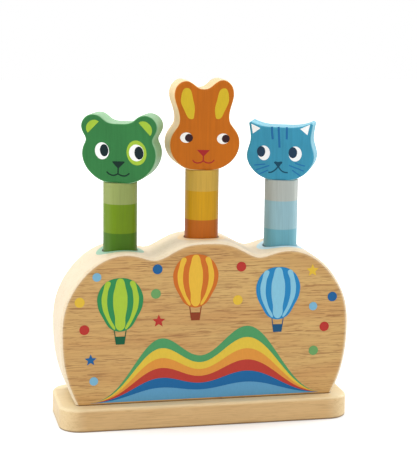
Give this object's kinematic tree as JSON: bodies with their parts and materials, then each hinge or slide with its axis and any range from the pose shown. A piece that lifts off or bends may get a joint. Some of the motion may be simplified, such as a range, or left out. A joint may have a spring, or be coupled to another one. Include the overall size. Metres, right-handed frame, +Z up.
{
  "type": "pop up animal toy",
  "caption": "Wooden toddler toy: three animal headed pegs stand on springs in a humped block on a base plate, and can be pressed, turned and lifted out.",
  "frame": {"origin": "middle of the base plate's underside", "axes": "+Z up along the pegs, the printed front faces -Y, and the three pegs stand in line along X"},
  "size_m": [0.192, 0.062, 0.2225],
  "materials": {
    "rubberwood": "clear satin lacquer over bare rubberwood",
    "turned_wood": "bare turned wood",
    "bear_green": "satin paint on wood, printed face",
    "rabbit_orange": "satin paint on wood, printed face",
    "cat_blue": "satin paint on wood, printed face",
    "green_bands": "five painted bands from pale green to dark green",
    "orange_bands": "five painted bands from pale yellow to dark orange",
    "blue_bands": "five painted bands from cream to dark blue",
    "spring_steel": "bright drawn spring wire",
    "screw_steel": "zinc plated"
  },
  "bodies": {
    "base": {"base_plate": "rubberwood", "block": "rubberwood", "base_screws": "screw_steel", "bear_spring_seat": "turned_wood", "rabbit_spring_seat": "turned_wood", "cat_spring_seat": "turned_wood", "bear_seat_screw": "screw_steel", "rabbit_seat_screw": "screw_steel", "cat_seat_screw": "screw_steel"},
    "bear_plunger": {"bear_spring": "spring_steel"},
    "bear_turntable": {"bear_push_disc": "turned_wood"},
    "bear_peg": {"bear_stem": "green_bands", "bear_head": "bear_green", "bear_neck_pin": "turned_wood"},
    "rabbit_plunger": {"rabbit_spring": "spring_steel"},
    "rabbit_turntable": {"rabbit_push_disc": "turned_wood"},
    "rabbit_peg": {"rabbit_stem": "orange_bands", "rabbit_head": "rabbit_orange", "rabbit_neck_pin": "turned_wood"},
    "cat_plunger": {"cat_spring": "spring_steel"},
    "cat_turntable": {"cat_push_disc": "turned_wood"},
    "cat_peg": {"cat_stem": "blue_bands", "cat_head": "cat_blue", "cat_neck_pin": "turned_wood"}
  },
  "joints": [
    {"name": "bear_press", "type": "slide", "parent": "base", "child": "bear_plunger", "axis": [0, 0, 1], "range_m": [-0.034, 0], "stiffness_N_per_m": 261, "springref_m": 0.003, "deforming": ["bear_spring"]},
    {"name": "bear_spin", "type": "hinge", "parent": "bear_plunger", "child": "bear_turntable", "pos_m": [-0.0537, 0, 0.068], "axis": [0, 0, 1], "continuous": true},
    {"name": "bear_lift", "type": "slide", "parent": "bear_turntable", "child": "bear_peg", "axis": [0, 0, 1], "range_m": [0, 0.08]},
    {"name": "rabbit_press", "type": "slide", "parent": "base", "child": "rabbit_plunger", "axis": [0, 0, 1], "range_m": [-0.034, 0], "stiffness_N_per_m": 261, "springref_m": 0.003, "deforming": ["rabbit_spring"]},
    {"name": "rabbit_spin", "type": "hinge", "parent": "rabbit_plunger", "child": "rabbit_turntable", "pos_m": [0, 0, 0.068], "axis": [0, 0, 1], "continuous": true},
    {"name": "rabbit_lift", "type": "slide", "parent": "rabbit_turntable", "child": "rabbit_peg", "axis": [0, 0, 1], "range_m": [0, 0.08]},
    {"name": "cat_press", "type": "slide", "parent": "base", "child": "cat_plunger", "axis": [0, 0, 1], "range_m": [-0.034, 0], "stiffness_N_per_m": 261, "springref_m": 0.003, "deforming": ["cat_spring"]},
    {"name": "cat_spin", "type": "hinge", "parent": "cat_plunger", "child": "cat_turntable", "pos_m": [0.0537, 0, 0.068], "axis": [0, 0, 1], "continuous": true},
    {"name": "cat_lift", "type": "slide", "parent": "cat_turntable", "child": "cat_peg", "axis": [0, 0, 1], "range_m": [0, 0.08]}
  ]
}
